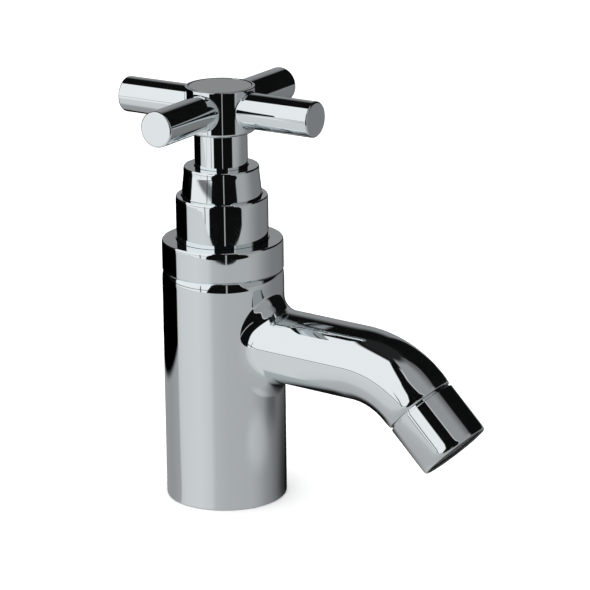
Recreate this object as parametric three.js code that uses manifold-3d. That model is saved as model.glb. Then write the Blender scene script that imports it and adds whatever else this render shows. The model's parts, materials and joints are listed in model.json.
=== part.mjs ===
// Basin pillar tap with a cross handle: one cold or hot supply, a quarter turn ceramic headwork,
// a stack of turned sleeves under the handle and a spout that bends down to an aerator.
// Millimetres, +Z up. The origin is the centre of the foot, on the deck. The spout points along -Y.
import * as THREE from 'three';
import { mergeVertices } from 'three/addons/utils/BufferGeometryUtils.js';
import Module from 'manifold-3d';

// ---------------------------------------------------------------- driving dimensions
const gap = 0.3; // clearance between pieces that touch or thread together

// body casting
const bodyRadius = 22;
const bodyHeight = 85.4;
const footChamfer = 1.2;
const spoutAboveSeat = 10.8; // where the spout's centre line leaves the body's axis
const spoutEndWall = 1.4; // outside the aerator's thread
const spoutFall = THREE.MathUtils.degToRad(1.9); // slope of the long run
const spoutRun = 57.9; // along the slope, from the body's axis to the bend
const bendRadius = 32.6; // of the centre line
const outletTilt = THREE.MathUtils.degToRad(45.3); // of the outlet below level
const spoutNose = 3; // straight length after the bend
const spoutBore = 9;
const spoutFillet = 6.5; // rolled where the spout leaves the column, above and below it
const spoutSideFillet = 11; // the same on its two sides

// water way inside the body
const counterboreDepth = 3.4; // from the body's top to the shoulder that the headwork's gasket sits on
const seatDepth = 32; // from the shoulder down to the valve seat
const headworkThreadLength = 10;
const inletBore = 6.5;
const chamberRadius = 12.3;

// fixing below the deck
const deckThickness = 30;
const tailRadius = 10.45; // half-inch pipe thread
const tailWall = 3.45;
const tailDrop = 55; // below the deck
const tailGrip = 16; // length screwed into the body
const tailGasketThickness = 2;
const footRim = 3.3; // width of the rim outside the base gasket
const gasketWidth = 6.7;
const gasketDepth = 2;
const rubberWasherWidth = 12.25;
const rubberWasherThickness = 3;
const fixingWasherWidth = 8.25;
const fixingWasherThickness = 1.5;
const backnutFlats = 27;
const backnutThickness = 8;

// headwork
const headworkSkirtRadius = 10;
const headworkSkirtWall = 1.2;
const headworkThreadRadius = 10.45; // half-inch pipe thread
const headworkHexFlats = 24;
const headworkHexHeight = 6;
const headworkGasketThickness = 1;
const headworkNeckWall = 3.2;
const sealThickness = 2.7;
const sealOverhang = 1; // the seat seal reaches that far in over the inlet
const discThickness = 3;
const discLobe = THREE.MathUtils.degToRad(100); // of each of the two solid lobes
const discBridge = 3; // radius of the solid middle of a disc
const carrierThickness = 4;
const tongueWidth = 2.6;
const tongueLength = 10;
const tongueDepth = 1;
const thrustWasherThickness = 0.8;

// spindle and its extension
const spindleRadius = 5;
const splineTip = 4.4;
const splineRoot = 3.9;
const splineTeeth = 20;
const spindleSplineLength = 10;
const spindleShoulderRise = 2.4; // from the clip up to the spline
const oRingSection = 0.55;
const oRingGrooveDepth = 1.4;
const oRingDepths = [13.4, 8.4]; // of the two O-rings below the headwork's top
const clipThickness = 1;
const clipWidth = 2.6;
const clipGrooveDepth = 0.7;
const clipOpening = THREE.MathUtils.degToRad(35); // each side of the middle of the gap
const extensionWall = 2.1; // outside the splined socket
const extensionRoof = 1.7; // between the socket's end and the upper spline

// sleeves between the body and the handle
const collarStep = 0.1; // the collar is that much smaller than the body
const collarRise = 11.2; // top of the collar above the body
const hexClearance = 0.45;
const collarSpigotWall = 2.9;
const smallSleeveWall = 2.15;
const middleLedge = 4.05; // from the small sleeve's wall out to the middle one's
const middleTaper = 0.85;
const largeLedge = 2.15;
const largeSleeveRise = 16.1; // above the collar
const middleSleeveRise = 10.8; // above the large sleeve
const hubRise = 12.7; // from the middle sleeve's top to the hub
const smallSleeveTuck = 1.8; // how far the small sleeve runs up inside the hub
const sleeveWall = 1.8;
const sleeveSeat = 3; // how deep a sleeve stands in the one below
const sleeveFloor = 1.7; // thickness of the ledge that it stands on
const sleeveNutThickness = 4.3;

// handle
const hubRadius = 12.5;
const hubFoot = 2.2; // hub below the arms
const hubCrown = 1.2; // hub above the arms
const hubChamfer = 1;
const capThickness = 0.9;
const capRim = 1; // hub metal round the cap
const armRadius = 6.45;
const armReach = 40.1; // from the handle's axis to an arm's end
const armChamfer = 0.7;
const skirtDepth = 2.8; // hollow under the hub that clears the small sleeve
const skirtClearance = 0.45;
const bushWall = 2; // outside the spline
const bushOverlap = 1; // the bush runs that far above the spline
const screwRadius = 2.1;
const screwHeadRadius = 4.5;
const screwHeadHeight = 1.7;
const screwLength = 14;
const screwWall = 1.4; // hub metal under the screw's head
const screwSocketFlats = 4;
const capRingClearance = 0.8; // round the screw's head
const capRingWall = 1.9;

// aerator
const aeratorThreadRadius = 11.6;
const aeratorStep = 0.15; // the ring is that much smaller than the spout
const aeratorLength = 20.4;
const aeratorGroove = 1; // width of the shadow line next to the spout
const aeratorGrooveDepth = 0.8;
const aeratorEdge = 0.4;
const aeratorThreadLength = 6;
const aeratorThreadWall = 1.5;
const aeratorGasketThickness = 1.6;
const aeratorGasketWidth = 2.3;
const aeratorWall = 1.15; // outside the insert
const insertRecess = 0.9; // the insert's face stands back in the mouth
const insertLength = 7.5;
const insertSlots = 8;
const slotInnerShare = 0.55; // of the insert's radius
const slotOuterShare = 0.82;
const slotArcShare = 0.7; // slot against the web beside it
const screenThickness = 0.7;
const screenRise = 2;

// ---------------------------------------------------------------- heights and radii that follow
const past = 1; // how far a cutter runs past a face
const shoulderHeight = bodyHeight - counterboreDepth;
const seatHeight = shoulderHeight - seatDepth;
const chamberTop = shoulderHeight - headworkThreadLength;
const spoutHeight = seatHeight + spoutAboveSeat;
const spoutRadius = aeratorThreadRadius + gap + spoutEndWall;

const collarRadius = bodyRadius - collarStep;
const collarTop = bodyHeight + collarRise;
const largeSleeveTop = collarTop + largeSleeveRise;
const middleSleeveTop = largeSleeveTop + middleSleeveRise;
const hubBottom = middleSleeveTop + hubRise;
const armHeight = hubBottom + hubFoot + armRadius;
const handleTop = armHeight + armRadius + hubCrown;
const capLow = handleTop - capThickness;
const capSeat = capLow - gap;

const splineSocket = splineTip + gap;
const extensionRadius = splineSocket + extensionWall;
const smallHollow = extensionRadius + 2 * gap;
const smallSleeveRadius = smallHollow + smallSleeveWall;
const middleSleeveTopRadius = smallSleeveRadius + middleLedge;
const middleSleeveRadius = middleSleeveTopRadius + middleTaper;
const largeSleeveRadius = middleSleeveRadius + largeLedge;

// facets round a turn
const fine = 32;
const medium = 24;
const coarse = 16;

// ---------------------------------------------------------------- geometry helpers
const manifold = await Module();
manifold.setup();

// A closed mesh as a solid for joining and cutting.
function solid(geometry) {
  const bare = geometry.clone();
  bare.deleteAttribute('normal');
  bare.deleteAttribute('uv');
  const merged = mergeVertices(bare, 1e-4);
  const index = Array.from(merged.index.array);
  const kept = [];
  for (let i = 0; i < index.length; i += 3) {
    const [a, b, c] = index.slice(i, i + 3);
    if (a !== b && b !== c && c !== a) kept.push(a, b, c);
  }
  const vertProperties = new Float32Array(merged.attributes.position.array);
  const mesh = new manifold.Mesh({ numProp: 3, vertProperties, triVerts: new Uint32Array(kept) });
  return new manifold.Manifold(mesh);
}

// A solid back to three.js geometry.
function shell(body) {
  const mesh = body.getMesh();
  const geometry = new THREE.BufferGeometry();
  geometry.setAttribute('position', new THREE.Float32BufferAttribute(mesh.vertProperties, 3));
  geometry.setIndex(Array.from(mesh.triVerts));
  return geometry;
}

// A turned shape about Z. The profile runs from low inside, round the outside, to high inside.
// A profile that doesn't reach the axis at both ends closes on itself.
function turned(profile, facets) {
  const points = profile.map(([r, z]) => new THREE.Vector2(r, z));
  if (profile[0][0] > 0) points.push(points[0].clone());
  return new THREE.LatheGeometry(points, facets).rotateX(Math.PI / 2);
}

// A plain ring or, with no inner radius, a disc.
function ring(inner, outer, low, high, facets) {
  return turned([[inner, low], [outer, low], [outer, high], [inner, high]], facets);
}

// An outline in the XY plane, pushed up from low to high.
function pushed(shape, low, high, curveSegments = 6) {
  const depth = high - low;
  const geometry = new THREE.ExtrudeGeometry(shape, { depth, bevelEnabled: false, curveSegments });
  return geometry.translate(0, 0, low);
}

// A regular hexagon by the distance across its flats, with a round hole.
function hexagon(flats, hole) {
  const corner = flats / Math.sqrt(3);
  const points = [];
  for (let i = 0; i < 6; i++) {
    const angle = (i * Math.PI) / 3;
    points.push(new THREE.Vector2(corner * Math.cos(angle), corner * Math.sin(angle)));
  }
  const shape = new THREE.Shape(points);
  if (hole) shape.holes.push(new THREE.Path().absarc(0, 0, hole, 0, 2 * Math.PI, true));
  return shape;
}

// A toothed outline for a spline. The allowance grows it, to make a socket.
function spline(allowance = 0) {
  const points = [];
  for (let i = 0; i < splineTeeth * 2; i++) {
    const radius = (i % 2 ? splineRoot : splineTip) + allowance;
    const angle = (i * Math.PI) / splineTeeth;
    points.push(new THREE.Vector2(radius * Math.cos(angle), radius * Math.sin(angle)));
  }
  return new THREE.Shape(points);
}

// Two opposite lobes joined by a round middle: the solid part of a ceramic disc.
function butterfly(radius) {
  const half = discLobe / 2;
  const shape = new THREE.Shape();
  shape.moveTo(radius * Math.cos(-half), radius * Math.sin(-half));
  shape.absarc(0, 0, radius, -half, half, false);
  shape.absarc(0, 0, discBridge, half, Math.PI - half, false);
  shape.absarc(0, 0, radius, Math.PI - half, Math.PI + half, false);
  shape.absarc(0, 0, discBridge, Math.PI + half, 2 * Math.PI - half, false);
  return shape;
}

// The spout's centre line: a long run, a bend and a short nose, in the plane X = 0.
class SpoutLine extends THREE.Curve {
  getLength() {
    return spoutRun + bendRadius * (outletTilt - spoutFall) + spoutNose;
  }
  getPoint(t, target = new THREE.Vector3()) {
    const along = t * this.getLength();
    const run = Math.min(along, spoutRun);
    const bendLength = bendRadius * (outletTilt - spoutFall);
    const turn = spoutFall + THREE.MathUtils.clamp(along - spoutRun, 0, bendLength) / bendRadius;
    const nose = Math.max(along - spoutRun - bendLength, 0);
    const bendOut = bendRadius * (Math.sin(turn) - Math.sin(spoutFall));
    const bendDown = bendRadius * (Math.cos(spoutFall) - Math.cos(turn));
    const out = run * Math.cos(spoutFall) + bendOut + nose * Math.cos(turn);
    const down = run * Math.sin(spoutFall) + bendDown + nose * Math.sin(turn);
    return target.set(0, -out, spoutHeight - down);
  }
}

const part = new THREE.Group();

function piece(name, geometry, material, parent = part) {
  const mesh = new THREE.Mesh(geometry, material);
  mesh.name = name;
  parent.add(mesh);
  return mesh;
}

const metal = (color, roughness) => new THREE.MeshStandardMaterial({ color, metalness: 1, roughness });
const soft = (color, roughness) => new THREE.MeshStandardMaterial({ color, metalness: 0, roughness });
const chrome = metal(0xc9cdcf, 0.06);
const brass = metal(0xb8964f, 0.3);
const steel = metal(0xa9abad, 0.3);
const rubber = soft(0x1a1a1b, 0.7);
const fibre = soft(0x7b3f34, 0.8);
const ceramic = soft(0xeceae4, 0.15);
const plastic = soft(0x3a3d3f, 0.45);

// ---------------------------------------------------------------- body casting
const tailSocket = tailRadius + gap;
const tailSocketTop = tailGrip + tailGasketThickness + 2 * gap;
const recessRadius = bodyRadius - footRim + gap;
const hexCorner = headworkHexFlats / Math.sqrt(3);
const collarSpigotInner = hexCorner + hexClearance;
const collarSpigotRadius = collarSpigotInner + collarSpigotWall;
const counterboreRadius = collarSpigotRadius + gap;
const headworkSocket = headworkThreadRadius + gap;

const column = turned([
  [0, 0],
  [bodyRadius - footChamfer, 0],
  [bodyRadius, footChamfer],
  [bodyRadius, bodyHeight],
  [0, bodyHeight],
], fine);

// everything hollowed out of the column, from the gasket's recess up to the collar's counterbore
const hollow = turned([
  [0, -past],
  [recessRadius, -past],
  [recessRadius, gasketDepth],
  [tailSocket, gasketDepth],
  [tailSocket, tailSocketTop],
  [inletBore, tailSocketTop],
  [inletBore, seatHeight],
  [chamberRadius, seatHeight],
  [chamberRadius, chamberTop],
  [headworkSocket, chamberTop],
  [headworkSocket, shoulderHeight],
  [counterboreRadius, shoulderHeight],
  [counterboreRadius, bodyHeight + past],
  [0, bodyHeight + past],
], medium);

function alongSpout(radius, facets, steps) {
  const section = new THREE.Shape().absarc(0, 0, radius, 0, 2 * Math.PI, false);
  return new THREE.ExtrudeGeometry(section, {
    steps,
    curveSegments: facets / 2,
    extrudePath: new SpoutLine(),
  });
}

// The flesh of the fillet between the column and the spout, as a closed ring. A ball as big as the
// fillet rolls round the corner: its centre is the fillet's centre, and it touches both walls.
function rolledRoot(facets, arcSteps) {
  const along = new THREE.Vector3(0, -Math.cos(spoutFall), -Math.sin(spoutFall));
  const up = new THREE.Vector3(0, -Math.sin(spoutFall), Math.cos(spoutFall));
  const positions = [];
  for (let i = 0; i < facets; i++) {
    const angle = (i * 2 * Math.PI) / facets;
    const fillet = THREE.MathUtils.lerp(spoutFillet, spoutSideFillet, Math.sin(angle) ** 2);
    const side = (spoutRadius + fillet) * Math.sin(angle);
    const rise = (spoutRadius + fillet) * Math.cos(angle);
    const reach = Math.sqrt((bodyRadius + fillet) ** 2 - side ** 2);
    const out = (reach - rise * Math.sin(spoutFall)) / Math.cos(spoutFall);
    const centre = new THREE.Vector3(side, 0, spoutHeight);
    centre.addScaledVector(along, out).addScaledVector(up, rise);
    const toColumn = new THREE.Vector3(-centre.x, -centre.y, 0).normalize();
    const toSpout = new THREE.Vector3(-Math.sin(angle), 0, 0).addScaledVector(up, -Math.cos(angle));
    const corner = toColumn.angleTo(toSpout);
    for (let k = 0; k <= arcSteps; k++) {
      const swing = (corner * k) / arcSteps;
      const point = centre.clone();
      point.addScaledVector(toColumn, (fillet * Math.sin(corner - swing)) / Math.sin(corner));
      point.addScaledVector(toSpout, (fillet * Math.sin(swing)) / Math.sin(corner));
      positions.push(point.x, point.y, point.z);
    }
    const deep = (fillet + past) / (1 + Math.cos(corner));
    centre.addScaledVector(toColumn, deep).addScaledVector(toSpout, deep);
    positions.push(centre.x, centre.y, centre.z);
  }
  const section = arcSteps + 2;
  const index = [];
  for (let i = 0; i < facets; i++) {
    const next = (i + 1) % facets;
    for (let k = 0; k < section; k++) {
      const step = (k + 1) % section;
      const [a, b] = [i * section + k, i * section + step];
      const [c, d] = [next * section + step, next * section + k];
      index.push(a, b, c, a, c, d);
    }
  }
  const geometry = new THREE.BufferGeometry();
  geometry.setAttribute('position', new THREE.Float32BufferAttribute(positions, 3));
  geometry.setIndex(index);
  return geometry;
}

const outlet = new THREE.Group(); // turned so that its own +Z runs out of the spout
outlet.position.copy(new SpoutLine().getPoint(1));
outlet.rotation.x = Math.PI / 2 + outletTilt;
outlet.updateMatrix();
part.add(outlet);

const aeratorSocketDepth = aeratorThreadLength + aeratorGasketThickness;
const aeratorSocket = ring(0, aeratorThreadRadius + gap, -aeratorSocketDepth, past, medium);
aeratorSocket.applyMatrix4(outlet.matrix);

const casting = solid(column)
  .add(solid(alongSpout(spoutRadius, fine, 20)))
  .add(solid(rolledRoot(fine, 6)))
  .subtract(solid(hollow))
  .subtract(solid(alongSpout(spoutBore, coarse, 16)))
  .subtract(solid(aeratorSocket));
piece('tap_body', shell(casting), chrome);

// ---------------------------------------------------------------- fixing below the deck
const gasketOuter = recessRadius - gap;
piece('base_gasket', ring(gasketOuter - gasketWidth, gasketOuter, 0, gasketDepth - gap, medium), rubber);

const tailBore = tailRadius - tailWall;
const tailChamfer = 1;
const threadedTail = turned([
  [tailBore, -tailDrop],
  [tailRadius - tailChamfer, -tailDrop],
  [tailRadius, -tailDrop + tailChamfer],
  [tailRadius, tailGrip],
  [tailBore, tailGrip],
], medium);
piece('threaded_tail', threadedTail, brass);

const tailGasketLow = tailGrip + gap;
const tailGasket = ring(tailBore, tailRadius, tailGasketLow, tailGasketLow + tailGasketThickness, medium);
piece('tail_gasket', tailGasket, fibre);

let under = -deckThickness;
const rubberWasherRadius = tailSocket + rubberWasherWidth;
const rubberWasher = ring(tailSocket, rubberWasherRadius, under - rubberWasherThickness, under, medium);
piece('rubber_washer', rubberWasher, rubber);

under -= rubberWasherThickness + gap;
const fixingWasherRadius = tailSocket + fixingWasherWidth;
const fixingWasher = ring(tailSocket, fixingWasherRadius, under - fixingWasherThickness, under, medium);
piece('fixing_washer', fixingWasher, steel);

under -= fixingWasherThickness + gap;
piece('backnut', pushed(hexagon(backnutFlats, tailSocket), under - backnutThickness, under, 12), brass);

// ---------------------------------------------------------------- headwork
// Stacked up from the seat: seal, fixed disc, turning disc, carrier on the spindle, thrust washer.
const skirtInner = headworkSkirtRadius - headworkSkirtWall;
const stackRadius = skirtInner - gap;
const sealLow = seatHeight + gap;
const lowerDiscLow = sealLow + sealThickness + gap;
const upperDiscLow = lowerDiscLow + discThickness + gap;
const carrierLow = upperDiscLow + discThickness + gap;
const thrustLow = carrierLow + carrierThickness + gap;
const headworkRoof = thrustLow + thrustWasherThickness + gap;
const headworkLow = sealLow + 2 * gap;
const headworkBore = spindleRadius + gap;
const headworkNeckRadius = headworkBore + headworkNeckWall;
const headworkTop = largeSleeveTop - gap;
const hexLow = shoulderHeight + headworkGasketThickness + 2 * gap;

const seatSeal = ring(inletBore - sealOverhang, stackRadius, sealLow, sealLow + sealThickness, medium);
piece('seat_seal', seatSeal, rubber);

// The upper disc's lobes cover the lower disc's openings at rest, and a quarter turn clears them.
const lowerDisc = pushed(butterfly(stackRadius), lowerDiscLow, lowerDiscLow + discThickness);
piece('ceramic_disc_lower', lowerDisc, ceramic);

// The tongue under the spindle's carrier turns the upper disc. Both lie along Y when the tap is shut.
const tongue = (allowance) => new THREE.BoxGeometry(
  tongueWidth + 2 * allowance,
  tongueLength + 2 * allowance,
  2 * (tongueDepth + allowance),
).translate(0, 0, carrierLow);
const upperDiscPlate = pushed(butterfly(stackRadius), upperDiscLow, upperDiscLow + discThickness);
const upperDisc = solid(upperDiscPlate.rotateZ(Math.PI / 2)).subtract(solid(tongue(gap)));
piece('ceramic_disc_upper', shell(upperDisc), ceramic);

const headworkTube = turned([
  [skirtInner, headworkLow],
  [headworkSkirtRadius, headworkLow],
  [headworkSkirtRadius, chamberTop],
  [headworkThreadRadius, chamberTop + gap],
  [headworkThreadRadius, hexLow],
  [headworkNeckRadius, hexLow + headworkHexHeight / 2],
  [headworkNeckRadius, headworkTop],
  [headworkBore, headworkTop],
  [headworkBore, headworkRoof],
  [skirtInner, headworkRoof],
], medium);
const headworkHex = pushed(hexagon(headworkHexFlats, headworkBore), hexLow, hexLow + headworkHexHeight, 12);
const windowHeight = carrierThickness - 2 * gap;
const sideWindow = new THREE.BoxGeometry(headworkSkirtRadius, 4 * headworkSkirtRadius, windowHeight);
sideWindow.translate(0, 0, carrierLow + carrierThickness / 2);
const headwork = solid(headworkTube).add(solid(headworkHex)).subtract(solid(sideWindow));
piece('headwork_housing', shell(headwork), brass);

const headworkGasketLow = shoulderHeight + gap;
const headworkGasketTop = headworkGasketLow + headworkGasketThickness;
const headworkGasketOuter = headworkHexFlats / 2 + 1;
const headworkGasket = ring(
  headworkSocket,
  headworkGasketOuter,
  headworkGasketLow,
  headworkGasketTop,
  medium,
);
piece('headwork_gasket', headworkGasket, fibre);

const thrustTop = thrustLow + thrustWasherThickness;
piece('thrust_washer', ring(headworkBore, stackRadius, thrustLow, thrustTop, medium), plastic);

// ---------------------------------------------------------------- spindle
const clipLow = headworkTop + gap;
const clipTop = clipLow + clipThickness;
const spindleShoulder = clipTop + spindleShoulderRise;
const clipGroove = spindleRadius - clipGrooveDepth;
const oRingGroove = spindleRadius - oRingGrooveDepth;
const oRingHalfGroove = oRingSection + gap;
const oRingHeights = oRingDepths.map((depth) => headworkTop - depth);
const shaftLow = carrierLow + carrierThickness - past;
const shaftProfile = [[0, shaftLow], [spindleRadius, shaftLow]];
for (const height of oRingHeights) {
  shaftProfile.push([spindleRadius, height - oRingHalfGroove], [oRingGroove, height - oRingHalfGroove]);
  shaftProfile.push([oRingGroove, height + oRingHalfGroove], [spindleRadius, height + oRingHalfGroove]);
}
shaftProfile.push([spindleRadius, clipLow - gap], [clipGroove, clipLow - gap]);
shaftProfile.push([clipGroove, clipTop + gap], [spindleRadius, clipTop + gap]);
shaftProfile.push([spindleRadius, spindleShoulder], [0, spindleShoulder]);
const carrier = pushed(butterfly(stackRadius), carrierLow, carrierLow + carrierThickness);
carrier.rotateZ(Math.PI / 2);
const spindleSpline = pushed(spline(), spindleShoulder - past, spindleShoulder + spindleSplineLength);
const spindle = solid(turned(shaftProfile, coarse))
  .add(solid(carrier))
  .add(solid(tongue(0)))
  .add(solid(spindleSpline));
piece('spindle', shell(spindle), brass);

const oRingCentre = oRingGroove + gap + oRingSection;
oRingHeights.forEach((height, i) => {
  const section = [];
  for (let corner = 0; corner < 8; corner++) {
    const angle = (corner * Math.PI) / 4;
    section.push([oRingCentre + oRingSection * Math.cos(angle), height + oRingSection * Math.sin(angle)]);
  }
  piece(`spindle_o_ring_${i + 1}`, turned(section, coarse), rubber);
});

// an open ring that snaps into the spindle's groove
const clipInner = clipGroove + gap;
const clipShape = new THREE.Shape();
clipShape.absarc(0, 0, clipInner + clipWidth, clipOpening, 2 * Math.PI - clipOpening, false);
clipShape.absarc(0, 0, clipInner, 2 * Math.PI - clipOpening, clipOpening, true);
piece('retaining_clip', pushed(clipShape, clipLow, clipTop, 12), steel);

// the levels inside the hub, from its top down
const screwHeadTop = capSeat;
const screwHeadLow = screwHeadTop - screwHeadHeight;
const wellLow = screwHeadLow - gap;
const bushCeiling = wellLow - screwWall;
const skirtTop = hubBottom + skirtDepth;
const bushLow = skirtTop + gap;
const bushTop = bushCeiling - gap;

const extensionLow = clipTop + 3 * gap;
const splineEnd = spindleShoulder + spindleSplineLength + gap;
const socketTop = splineEnd + extensionRoof;
const extensionTop = bushTop - bushOverlap;
const screwHole = screwRadius + gap;
const screwEnd = screwHeadLow - screwLength;
const extensionRod = solid(ring(0, extensionRadius, extensionLow, socketTop, medium))
  .add(solid(pushed(spline(), socketTop - past, extensionTop)))
  .subtract(solid(ring(0, headworkBore, extensionLow - past, spindleShoulder + gap, coarse)))
  .subtract(solid(pushed(spline(gap), spindleShoulder, splineEnd)))
  .subtract(solid(ring(0, screwHole, screwEnd - past, extensionTop + past, coarse)));
piece('spindle_extension', shell(extensionRod), brass);

// ---------------------------------------------------------------- sleeves
// Each sleeve stands in a recess in the top of the one below, with a fine gap round it.
function recessed(outerLow, outerHigh, hollowRadius, hole, low, top, seatRadius) {
  return turned([
    [hollowRadius, low],
    [outerLow, low],
    [outerHigh, top],
    [seatRadius, top],
    [seatRadius, top - sleeveSeat - gap],
    [hole, top - sleeveSeat - gap],
    [hole, top - sleeveSeat - gap - sleeveFloor],
    [hollowRadius, top - sleeveSeat - gap - sleeveFloor],
  ], fine);
}

const collarLow = bodyHeight + gap;
const collarSeat = collarTop - sleeveSeat - gap;
const collarFloor = collarSeat - sleeveFloor;
const neckHole = headworkNeckRadius + gap;
const collar = turned([
  [collarSpigotInner, shoulderHeight + gap],
  [collarSpigotRadius, shoulderHeight + gap],
  [collarSpigotRadius, collarLow],
  [collarRadius, collarLow],
  [collarRadius, collarTop],
  [largeSleeveRadius + gap, collarTop],
  [largeSleeveRadius + gap, collarSeat],
  [neckHole, collarSeat],
  [neckHole, collarFloor],
  [collarSpigotInner, collarFloor],
], fine);
piece('body_collar', collar, chrome);

const largeSleeve = recessed(
  largeSleeveRadius,
  largeSleeveRadius,
  largeSleeveRadius - sleeveWall,
  neckHole,
  collarTop - sleeveSeat,
  largeSleeveTop,
  middleSleeveRadius + gap,
);
piece('cover_sleeve_large', largeSleeve, chrome);

const middleHollow = middleSleeveRadius - sleeveWall;
const middleLow = largeSleeveTop - sleeveSeat;
const middleSleeve = recessed(
  middleSleeveRadius,
  middleSleeveTopRadius,
  middleHollow,
  extensionRadius + 4 * gap,
  middleLow,
  middleSleeveTop,
  smallSleeveRadius + gap,
);
piece('cover_sleeve_middle', middleSleeve, chrome);

const smallLow = middleSleeveTop - sleeveSeat;
const smallSleeveTop = hubBottom + smallSleeveTuck;
piece('cover_sleeve_small', ring(smallHollow, smallSleeveRadius, smallLow, smallSleeveTop, fine), chrome);

// the round nut that clamps the large sleeve down and carries the middle one
const nutRadius = middleHollow - gap;
const sleeveNut = ring(neckHole, nutRadius, middleLow, middleLow + sleeveNutThickness, medium);
piece('sleeve_nut', sleeveNut, brass);

// ---------------------------------------------------------------- handle
const bushRadius = splineSocket + bushWall;
const capRadius = hubRadius - capRim - gap;
const wellRadius = screwHeadRadius + capRingClearance + capRingWall + gap;
let cross = solid(turned([
  [0, hubBottom],
  [hubRadius - hubChamfer, hubBottom],
  [hubRadius, hubBottom + hubChamfer],
  [hubRadius, handleTop],
  [0, handleTop],
], fine));
const armBar = turned([
  [0, -armReach],
  [armRadius - armChamfer, -armReach],
  [armRadius, -armReach + armChamfer],
  [armRadius, armReach - armChamfer],
  [armRadius - armChamfer, armReach],
  [0, armReach],
], medium);
armBar.rotateX(Math.PI / 2);
armBar.translate(0, 0, armHeight);
cross = cross.add(solid(armBar));
cross = cross.add(solid(armBar.clone().rotateZ(Math.PI / 2)));
const hubHollow = turned([
  [0, hubBottom - past],
  [smallSleeveRadius + skirtClearance, hubBottom - past],
  [smallSleeveRadius + skirtClearance, skirtTop],
  [bushRadius + gap, skirtTop],
  [bushRadius + gap, bushCeiling],
  [screwHole + gap, bushCeiling],
  [screwHole + gap, wellLow],
  [wellRadius, wellLow],
  [wellRadius, capSeat],
  [capRadius + gap, capSeat],
  [capRadius + gap, handleTop + past],
  [0, handleTop + past],
], fine);
piece('cross_handle', shell(cross.subtract(solid(hubHollow))), chrome);

const bushShape = new THREE.Shape().absarc(0, 0, bushRadius, 0, 2 * Math.PI, false);
bushShape.holes.push(new THREE.Path(spline(gap).getPoints().reverse()));
piece('handle_bush', pushed(bushShape, bushLow, bushTop, 12), plastic);

const screwBlank = solid(turned([
  [0, screwEnd],
  [screwRadius, screwEnd],
  [screwRadius, screwHeadLow],
  [screwHeadRadius, screwHeadLow],
  [screwHeadRadius, screwHeadTop],
  [0, screwHeadTop],
], coarse));
const keyLow = screwHeadTop - screwHeadHeight / 2;
const keySocket = pushed(hexagon(screwSocketFlats), keyLow, screwHeadTop + past);
piece('handle_screw', shell(screwBlank.subtract(solid(keySocket))), steel);

const capRingRadius = wellRadius - gap;
const handleCap = turned([
  [0, capLow],
  [capRingRadius - capRingWall, capLow],
  [capRingRadius - capRingWall, wellLow + gap],
  [capRingRadius, wellLow + gap],
  [capRingRadius, capLow],
  [capRadius, capLow],
  [capRadius, handleTop],
  [0, handleTop],
], fine);
piece('handle_cap', handleCap, chrome);

// ---------------------------------------------------------------- aerator
// Measured from the spout's end face along the outlet.
const aeratorRadius = spoutRadius - aeratorStep;
const insertPocket = aeratorRadius - aeratorWall;
const insertRadius = insertPocket - gap;
const threadBore = aeratorThreadRadius - aeratorThreadWall;
const insertTop = aeratorLength - insertRecess;
const insertLow = insertTop - insertLength;
const screenLow = insertLow - gap - screenThickness;
const housingStep = screenLow - gap;
const aeratorHousing = turned([
  [threadBore, -aeratorThreadLength + gap],
  [aeratorThreadRadius, -aeratorThreadLength + gap],
  [aeratorThreadRadius, gap],
  [aeratorRadius - aeratorGrooveDepth, gap],
  [aeratorRadius - aeratorGrooveDepth, aeratorGroove],
  [aeratorRadius, aeratorGroove],
  [aeratorRadius, aeratorLength - aeratorEdge],
  [aeratorRadius - aeratorEdge, aeratorLength],
  [insertPocket, aeratorLength],
  [insertPocket, housingStep],
  [threadBore, housingStep],
], medium);
piece('aerator_housing', aeratorHousing, chrome, outlet);

const aeratorGasketLow = -aeratorSocketDepth + gap;
const aeratorGasketHigh = -aeratorThreadLength;
const aeratorGasketOuter = aeratorThreadRadius - gap;
const aeratorGasketInner = aeratorGasketOuter - aeratorGasketWidth;
const aeratorGasket = ring(
  aeratorGasketInner,
  aeratorGasketOuter,
  aeratorGasketLow,
  aeratorGasketHigh,
  medium,
);
piece('aerator_gasket', aeratorGasket, rubber, outlet);

// the screen is a shallow dome over the insert's upstream face
const screenFlat = threadBore - 1.5;
const screen = turned([
  [0, screenLow - screenRise],
  [screenFlat, screenLow],
  [insertRadius, screenLow],
  [insertRadius, screenLow + screenThickness],
  [screenFlat, screenLow + screenThickness],
  [0, screenLow + screenThickness - screenRise],
], medium);
piece('aerator_screen', screen, steel, outlet);

// a plug with a ring of slots that the water leaves by
const slotInner = insertRadius * slotInnerShare;
const slotOuter = insertRadius * slotOuterShare;
const insertOutline = new THREE.Shape().absarc(0, 0, insertRadius, 0, 2 * Math.PI, false);
for (let i = 0; i < insertSlots; i++) {
  const start = (i * 2 * Math.PI) / insertSlots;
  const sweep = (slotArcShare * 2 * Math.PI) / insertSlots;
  const slot = new THREE.Path();
  slot.absarc(0, 0, slotOuter, start, start + sweep, false);
  slot.absarc(0, 0, slotInner, start + sweep, start, true);
  insertOutline.holes.push(slot);
}
const insert = new THREE.ExtrudeGeometry(insertOutline, {
  depth: insertLength,
  bevelEnabled: false,
  curveSegments: 8,
}).translate(0, 0, insertLow);
piece('aerator_insert', insert, plastic, outlet);

export default part;
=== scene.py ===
import json
from math import atan2, cos, degrees, hypot, pi, radians, sin, sqrt

import bmesh
import bpy
from mathutils import Matrix, Vector


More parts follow.
